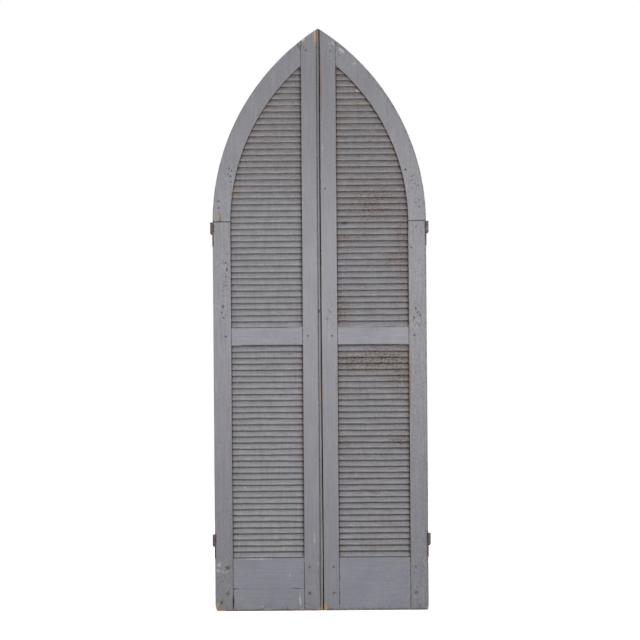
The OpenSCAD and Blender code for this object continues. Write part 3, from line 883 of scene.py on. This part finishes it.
# %% [markdown]
# Rails
#
# The mid rail is smooth and a little bluer, as if repainted. The bottom rail is one deep board that
# has begun to split: a crack opens from both ends and almost meets. The split is cut as a real
# groove, with three lines of the grid laid along it, because a crack drawn in bump has no shadow.

# %% Rails
CRACK_Z = 92.5 * MM
CRACK_HALF = 1.1 * MM
CRACK_DEEP = 2.6 * MM
CRACK_WANDER, CRACK_WAVE = 0.8 * MM, 90 * MM
CRACK_FADES = 26 * MM, 30 * MM      # how soon it grows shallow from the outer and the inner end
CRACK_LEAST = 0.08                  # the share of its depth that is left between them
CRACK_SIDE = 4 * MM          # the grid has a line this far above and below the crack


def rail_put(x0, z0, side):
    """Across runs upwards and along from the hinge stile towards the middle."""
    def put(across, through, along):
        return x0 - side * along, back_y - through, z0 + across
    return put


def crack(z, place):
    """A groove that wanders along the crack's height, deep at both ends of the rail."""
    along = place[..., 2]
    outer, inner = CRACK_FADES
    near_ends = np.maximum(np.exp(-along / outer), np.exp(-(along.max() - along) / inner))
    wander = CRACK_Z + CRACK_WANDER * ripple(along, 0 * along, CRACK_WAVE, 5)
    open_here = np.clip(CRACK_LEAST + near_ends, 0, 1)
    return CRACK_DEEP * open_here * np.exp(-((z - wander) / CRACK_HALF) ** 2)


def rail_end_dirt(z, place):
    """Dirt in the joints at both ends of a rail, and along the floor."""
    along = place[..., 2]
    from_end = np.minimum(along, along.max() - along)
    return np.maximum(0.75 * np.exp(-from_end / (2 * MM)), floor_dirt(z, 0.3, 25 * MM))


def rail_top_shade(z, place):
    """Painted shade: the dark line along a rail's top, under the slat above it."""
    across = place[..., 0]
    return 0.8 * np.clip((across - across.max() + 1.7 * MM) / (0.8 * MM), 0, 1)


def rail_section(height, lines=()):
    """A plain section with extra lines of points where a groove needs them on the front."""
    points, normals, arris = plain_section(height)
    front = np.isclose(points[:, 1], thick)
    for line in lines:
        nearest = np.argmin(np.where(front, np.abs(points[:, 0] - line), 1))
        points[nearest, 0] = line
    return points, normals, arris


for side, door in ((-1, "left"), (1, "right")):
    outer_x = side * (pair_edge - stile_w)
    rail_length = abs(outer_x) - inner_x
    for rail in ("mid_rail", "bottom_rail"):
        low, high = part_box(f"{door}_{rail}")
        split = door == "left" and rail == "bottom_rail"
        lines = (CRACK_Z - CRACK_SIDE, CRACK_Z, CRACK_Z + CRACK_SIDE) if split else ()
        member(f"{door}_{rail}", rail_section(high.z - low.z, lines), rail_length,
               rail_put(outer_x, low.z, side), frame_paints[f"{rail}s"], 51 + side + len(rail),
               groove=crack if split else nothing, grime=rail_end_dirt, gap=rail_top_shade,
               joints=(0.9, 0.9))

# %% [markdown]
# Slats
#
# Each door has 78 fixed slats of thin wood with rounded edges, let into the stiles at 45 degrees
# with the front edge low, so that rain runs off. They were cut by hand and have moved since: no two
# lie quite level or turn by quite the same angle, and that is what makes the dark lines between
# them waver. One array holds all the slats of a node, and every slat draws its own tilt, slope and
# bow from a seeded generator. A slat has few faces, because there are so many of them.

# %% Slat paint
SLAT_STREAK = 3 * MM
RAIN_STREAK = 20 * MM
RUB = 5 * MM
HIGH_FOOT, TAN_TOP, SHADE_TOP = 1.6, 1.85, 2.2    # browner, and darker with painted shade, from the one to the others
SLAT_MARKS = {
    # side, colour, x, z, half width and half height in millimetres
    "chip_low": ("left", "#a08570", -345, 1742, 10, 14),
    "chip_high": ("right", RAW_WOOD, 185, 2107, 12, 5),
    "white_chip": ("right", "#d8d8d4", 161, 2156, 4, 3),
    "smear": ("right", "#94827a", 325, 1461, 12, 8),
    "dust": ("left", "#b4b2ae", -158, 260, 6, 4),
    "green_stain": ("right", "#4c5350", 105, 1607, 12, 6),
    "white_dust": ("left", "#c9c2b8", -317, 512, 4, 5),
}


def spot(tree, x, z, half_w, half_h):
    """A torn oval mask at a place on the door's front, by the distance in half widths."""
    place = add(tree, "ShaderNodeTexCoord", {}, {})
    near = add(tree, "ShaderNodeVectorMath", {"operation": "SUBTRACT"},
               {0: place.outputs["Object"], 1: (x * MM, 0, z * MM)})
    near = add(tree, "ShaderNodeVectorMath", {"operation": "DIVIDE"},
               {0: near.outputs[0], 1: (half_w * MM, 1, half_h * MM)})
    away = add(tree, "ShaderNodeVectorMath", {"operation": "LENGTH"}, {0: near.outputs[0]})
    amount = ranged(tree, away.outputs["Value"], 1.6, 0.4)
    return ragged(tree, amount, place.outputs["Object"], TEAR, 0.45, 0.7)


def slat_paint(door, light, middle, dark, brown_level, speck_level, top_shade):
    """Thin, chalky paint on the slats, with painted shade on the nose, towards the back edge under
    the slat above and in the corners at the ends, brown dirt at the ends, rain streaks over many
    slats, short rubs across each, and a brown cast and brown specks over their own noise levels.
    The last argument is the strength of the painted shade near the top."""
    material, tree, shader = new_paint(f"thin_paint_on_{door}_slats")
    plain = stretched(tree, (1, 1, 1))
    grain = stretched(tree, (0.05, 1, 1))
    down = stretched(tree, (1, 0.1, 0.12))
    own = stretched(tree, (1, 1, 2.5))
    high_tan = times(tree, mottle(tree, own, 24 * MM, 0.42, 0.62),
                     by_height(tree, HIGH_FOOT, TAN_TOP))
    streaks = mottle(tree, grain, SLAT_STREAK, 0.38, 0.62)
    scaly = times(tree, mottle(tree, plain, 8 * MM, 0.5, 0.57), masked(tree, "scaly"))
    specks = mottle(tree, plain, FLECK, speck_level, speck_level + 0.05, 2.0)
    spots = [(spot(tree, *oval), chip, 0.85)
             for at, chip, *oval in SLAT_MARKS.values() if at == door]
    colour = coats(tree, linear(middle), [
        (mottle(tree, own, 60 * MM, 0.38, 0.64), light, 0.7),
        (mottle(tree, own, 30 * MM, 0.5, 0.7), "#858d9c", 0.35),
        (mottle(tree, own, 48 * MM, brown_level, brown_level + 0.16), "#8f7b6b", 0.42),
        (high_tan, "#8b7463", 0.45),
        (streaks, dark, 0.55),
        (mottle(tree, down, RAIN_STREAK, 0.5, 0.75), dark, 0.5),
        (mottle(tree, down, RUB, 0.5, 0.68), dark, 0.35),
        (mottle(tree, down, RUB, 0.48, 0.32), light, 0.35),
        (masked(tree, "scaly"), "#94806f", 0.3),
        # painted shade on the nose, which keeps it from looking brighter than the face
        (worn(tree, "nose", grain, 6 * MM, 0.0, 1.0), "#6f6c6d", 0.28),
        # painted shade towards the back edge of each slat, where the slat above shades it
        (worn(tree, "deep", plain, 8 * MM, 0.5, 1.4), "#6b6362", 0.35),
        # painted shade, darker towards the top
        (by_height(tree, HIGH_FOOT, SHADE_TOP), "#5c5859", top_shade),
        (worn(tree, "ends", plain, 7 * MM, 0.1, 0.95), "#70502f", 0.45),
        (scaly, "#513e36", 0.85),
        (specks, "#4f3f36", 0.8),
        (mottle(tree, plain, 4 * MM, 0.33, 0.3, 2.0), "#bdb9b2", 0.6),
        *spots,
        # painted shade in the corners at both ends of each row and along its right end
        (masked(tree, "corner"), "#28201d", 0.85),
    ])
    height = calc(tree, "SUBTRACT", calc(tree, "SUBTRACT", streaks, specks), scaly)
    feed(tree, shader, {"Base Color": colour, "Normal": bumped(tree, height, 0.6, 0.3 * MM),
                        "Roughness": 0.68, "IOR": OIL_IOR})
    return material


slat_paints = {
    "left": slat_paint("left", "#b3b3b8", "#a5a5a9", "#878689", 0.58, 0.62, 0.15),
    "right": slat_paint("right", "#acabb0", "#9f9ea2", "#817f82", 0.53, 0.6, 0.06),
}

# %% Slats
SLAT_W = 36 * MM
SLAT_T = 7 * MM
SLAT_TILT = radians(45)
INTO_STILE = 2 * MM
STRAY_TILT, STRAY_TWIST = radians(1.3), radians(0.9)     # how far a slat strays, about
STRAY_SLOPE, STRAY_BOW, STRAY_WAVER = 0.9 * MM, 0.6 * MM, 0.35 * MM
NOSE_WORN = 0.7 * MM
END_DIRT = 14 * MM           # how far in from its ends a slat is dirty
CORNER_DARK, SHADE_DARK = 5 * MM, 6 * MM     # and how far in it has painted shade, at both ends and at the right one
slat_half_rise = (SLAT_W - SLAT_T) / 2 * np.sin(SLAT_TILT) + SLAT_T / 2
SCALY = {
    # x, z, half width and half height in millimetres of the scaly areas, and their strength
    "left": [],
    "right": [
        (285, 1042, 120, 40, 1.2), (150, 1032, 110, 28, 1.1), (228, 1690, 95, 65, 0.75),
        (110, 1543, 75, 16, 0.9), (85, 1250, 26, 60, 0.85), (345, 1560, 28, 200, 0.6),
        (320, 1450, 60, 22, 0.8), (335, 985, 60, 50, 0.75), (330, 700, 50, 14, 0.9),
        (90, 700, 30, 16, 0.8),
    ],
}


def slat_profile():
    """The rounded bar of a slat as points across its width and thickness, and its nose weight: half
    circles at both edges, five points each, and two points on each face."""
    core = (SLAT_W - SLAT_T) / 2
    round_edge = np.linspace(np.pi / 2, 3 * np.pi / 2, 5)
    nose_u = -core + SLAT_T / 2 * np.cos(round_edge)
    nose_v = SLAT_T / 2 * np.sin(round_edge)
    face = np.array([-core / 3, core / 3])
    u = np.concatenate([nose_u, face, -nose_u[::-1], -face])
    v = np.concatenate([nose_v, [-SLAT_T / 2] * 2, nose_v, [SLAT_T / 2] * 2])
    nose = np.concatenate([[0.9, 1, 1, 0.7, 0.2], [0] * 8, [0.35]])
    return u, v, nose


def slat_stations():
    """Shares of the length from 0 to 1, closer together near the ends."""
    near = np.array([0, 0.008, 0.016, 0.027, 0.045, 0.075])
    return np.concatenate([near, np.linspace(0.12, 0.88, 11), 1 - near[::-1]])


def slats(node, heights, outer_x, door, seed, play):
    """All slats of a node: the profile turned by each slat's own tilt, and carried from the outer
    stile or the arch to the meeting stile with that slat's slope, bow and uneven nose. Play, up to
    1, scales how far they stray: rows above the eye stray less, or slits would open between."""
    side = -1 if door == "left" else 1
    draw = np.random.default_rng(seed)
    count = len(heights)
    u, v, nose = slat_profile()
    t = slat_stations()[None, :, None]
    stray = play * draw.normal(size=(4, count, 1, 1)).clip(-1.6, 1.6)
    tilt = SLAT_TILT + STRAY_TILT * stray[0] + STRAY_TWIST * stray[1] * (t - 0.5)
    slope = STRAY_SLOPE * stray[2]
    bow = STRAY_BOW * stray[3]
    phase = draw.uniform(0, 1, (count, 1, 1))
    waver = STRAY_WAVER * play * ripple(t * 0.3 + 7 * phase, 3 * phase, 70 * MM, seed + 1)
    uneven = ripple(t * 0.3 + 5 * phase, 0 * t, 22 * MM, seed + 2)
    across = u + NOSE_WORN * np.clip(uneven - 0.3, 0, 1.3) * nose
    y = (face_y + back_y) / 2 + across * np.cos(tilt) - v * np.sin(tilt)
    z = heights[:, None, None] + across * np.sin(tilt) + v * np.cos(tilt)
    z = z + slope * (t - 0.5) + bow * np.sin(np.pi * t) + waver
    start = outer_x(z)
    x = start + t * (inner_x - INTO_STILE - start)
    length = start - inner_x
    from_end = np.minimum(t, 1 - t) * length
    from_right = (1 - t if door == "left" else t) * length
    # painted shade: in the corners at both ends, and along the right end, where the stile shades it
    in_corner = np.clip(1.15 - (from_end - INTO_STILE) / CORNER_DARK, 0, 1)
    in_shade = np.clip(1.5 - (from_right - INTO_STILE) / SHADE_DARK, 0, 1)
    rings = np.stack([side * x, y * np.ones_like(x), z], -1)
    solids(node, rings, slat_paints[door], {
        "nose": nose,
        # painted shade towards the back edge, under the slat above
        "deep": np.clip((across / SLAT_W + 0.12) * 1.8, 0, 1),
        "ends": np.exp(-from_end / END_DIRT),
        "corner": np.maximum(in_corner, 0.75 * in_shade),
        "scaly": ovals(SCALY[door], x, z),
    })


# %% Rows of slats
LOWER_SLATS = 35
UPPER_SLATS = 16
ARCH_SLATS = 27


def straight_end(z):
    """The outer ends of the straight rows stand in the hinge stile."""
    return np.full_like(z, pair_edge - stile_w + INTO_STILE)


def arched_end(z):
    """The outer ends under the arch follow its inner edge: the circle's abscissa at each height."""
    reach = opening_r + INTO_STILE
    above = np.clip(z - springing, 0, reach)
    return np.sqrt(reach ** 2 - above ** 2) - opening_cx


def row_heights(node, count):
    """Heights of a row's middles, spread evenly over the node's box."""
    low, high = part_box(node)
    return np.linspace(low.z + slat_half_rise, high.z - slat_half_rise, count)


for number, door in enumerate(("left", "right")):
    lower = row_heights(f"{door}_lower_slats", LOWER_SLATS)
    upper = row_heights(f"{door}_upper_slats", UPPER_SLATS)
    pitch = upper[1] - upper[0]
    arched = upper[-1] + pitch * np.arange(1, ARCH_SLATS + 1)
    slats(f"{door}_lower_slats", lower, straight_end, door, 101 + 10 * number, 1)
    slats(f"{door}_upper_slats", upper, straight_end, door, 102 + 10 * number, 0.7)
    slats(f"{door}_arch_slats", arched, arched_end, door, 103 + 10 * number, 0.35)
print("the slats stand", round(pitch / MM, 2), "mm apart in the upper panels")

# %% [markdown]
# Pegs
#
# Hardwood pegs lock the tenons. They were whittled, so they aren't quite round, and their end
# grain has taken the paint unevenly: each shows as a darker disc with a dark rim. A peg is a stack
# of rings along its own axis, drawn in at both ends.

# %% Peg paint
peg_paint, tree, shader = new_paint("worn_paint_on_peg_ends")
plain = stretched(tree, (1, 1, 1))
colour = coats(tree, linear("#77747a"), [
    (mottle(tree, plain, 4 * MM, 0.4, 0.65), "#5c5350", 1.0),
    (masked(tree, "rim"), "#2e2522", 0.9),
])
feed(tree, shader, {
    "Base Color": colour,
    "Normal": bumped(tree, mottle(tree, plain, 1.2 * MM, 0.3, 0.7), 0.5, 0.3 * MM),
    "Roughness": 0.75,
    "IOR": OIL_IOR,
})

# %% Pegs
PEG_R = 4.5 * MM
PEG_PROUD = 0.35 * MM
HEAD_PEG_STEP = 28 * MM


def pegs(node, centres, seed, rim_dirt):
    """Pegs at these places in x and z: rings of a slightly eight-sided outline along y, the first
    and last two drawn in, so that both ends are a little domed. Rim dirt is from 0 to 1."""
    draw = np.random.default_rng(seed)
    angle = np.linspace(0, 2 * np.pi, 24, endpoint=False)
    turn = draw.uniform(0, 6.28, (len(centres), 1, 1))
    size = PEG_R * draw.uniform(0.9, 1.0, (len(centres), 1, 1))
    shrink = np.array([0.55, 0.86, 0.97, 1, 1, 0.97, 0.86, 0.55])[None, :, None]
    depth = np.array([0, 0.05, 0.2, 0.7]) * MM
    y = np.concatenate([face_y - PEG_PROUD + depth, back_y - depth[::-1]])[None, :, None]
    radius = size * shrink * (1 + 0.035 * np.cos(8 * (angle + turn)))
    middle = np.array(centres)
    x = middle[:, 0, None, None] + radius * np.cos(angle + turn)
    z = middle[:, 1, None, None] + radius * np.sin(angle + turn)
    rings = np.stack([x, y * np.ones_like(x), z], -1)
    rim = rim_dirt * np.array([0, 0.35, 1, 1, 1, 1, 0.35, 0])[None, :, None]
    solids(node, rings, peg_paint, {"rim": rim})


for number, (side, door) in enumerate(((-1, "left"), (1, "right"))):
    for rail in ("mid_rail", "bottom_rail"):
        low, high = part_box(f"{door}_{rail}_pegs")
        xs = np.unique(np.round([low.x + PEG_R, high.x - PEG_R], 5))
        # a mid rail's one height comes out as two, 0.02 mm apart: its pegs are double, unseen
        zs = np.unique(np.round([low.z + PEG_R, high.z - PEG_R], 5))
        pegs(f"{door}_{rail}_pegs", [(x, z) for x in xs for z in zs], 71 + number,
             1 if rail == "bottom_rail" else 0.45)
    low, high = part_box(f"{door}_head_pegs")
    outer, inner = (low.x + PEG_R, high.x - PEG_R) if side < 0 else (high.x - PEG_R, low.x + PEG_R)
    pegs(f"{door}_head_pegs",
         [(outer, low.z + PEG_R), (outer, low.z + PEG_R + HEAD_PEG_STEP), (inner, high.z - PEG_R)],
         75 + number, 0.2)

# %% [markdown]
# Hinges
#
# The hinge halves, screws and pins are iron that was painted with the door and has rusted through.
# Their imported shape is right, with true holes and knuckles, so each piece is a copy of it with the
# corners merged and a Bevel modifier that eases every sharp edge. Rust is rough and lumpy at half a
# millimetre, and what paint is left sits on the high flats.


# %% Rusty iron
def rusty_iron(name, deep_rust, rust, paint_left):
    """Cast iron gone to rust: two browns in patches, with grey paint over a noise level."""
    material, tree, shader = new_paint(name)
    plain = stretched(tree, (1, 1, 1))
    patches = mottle(tree, plain, 6 * MM, 0.38, 0.62)
    pits = mottle(tree, plain, 1.1 * MM, 0.35, 0.7)
    colour = coats(tree, linear(deep_rust), [
        (patches, rust, 1.0),
        (pits, "#2c211d", 0.45),
        (mottle(tree, plain, 11 * MM, paint_left, paint_left + 0.06), "#7d7a80", 0.85),
    ])
    feed(tree, shader, {"Base Color": colour, "Metallic": ranged(tree, patches, 0, 1, 0.35, 0.1),
                        "Normal": bumped(tree, pits, 0.7, 0.4 * MM), "Roughness": 0.72})
    return material


hinge_iron = rusty_iron("rusty_painted_hinge_iron", "#5f4c46", "#806a60", 0.52)
screw_steel = rusty_iron("rusty_screw_steel", "#4a3830", "#6b4c3b", 0.62)
pin_iron = rusty_iron("worn_pin_iron", "#5a4a43", "#6f5a4f", 0.75)


# %% Hinge halves, screws and pins
MERGE = 0.002 * MM
SHARP_TURN = radians(35)


def eased(node, width, material):
    """A copy of a packed iron piece: its doubled corners are merged, and edges sharper than
    SHARP_TURN get a two-step bevel of that width."""
    mesh = frame["nodes"][node].data.copy()
    mesh.materials.clear()
    shape = bmesh.new()
    shape.from_mesh(mesh)
    bmesh.ops.remove_doubles(shape, verts=shape.verts, dist=MERGE)
    shape.to_mesh(mesh)
    shape.free()
    ease = dress(node, node + "_iron", mesh, material).modifiers.new("eased_edges", "BEVEL")
    ease.width = width
    ease.segments = 2
    ease.limit_method = "ANGLE"
    ease.angle_limit = SHARP_TURN
    ease.harden_normals = True


for door in ("left", "right"):
    for level in ("upper", "lower"):
        hinge = f"{door}_{level}_hinge"
        eased(f"{hinge}_leaf", 0.45 * MM, hinge_iron)
        eased(f"{hinge}_screws", 0.15 * MM, screw_steel)
        eased(f"{hinge}_pin", 0.4 * MM, pin_iron)
print("four hinges are dressed")
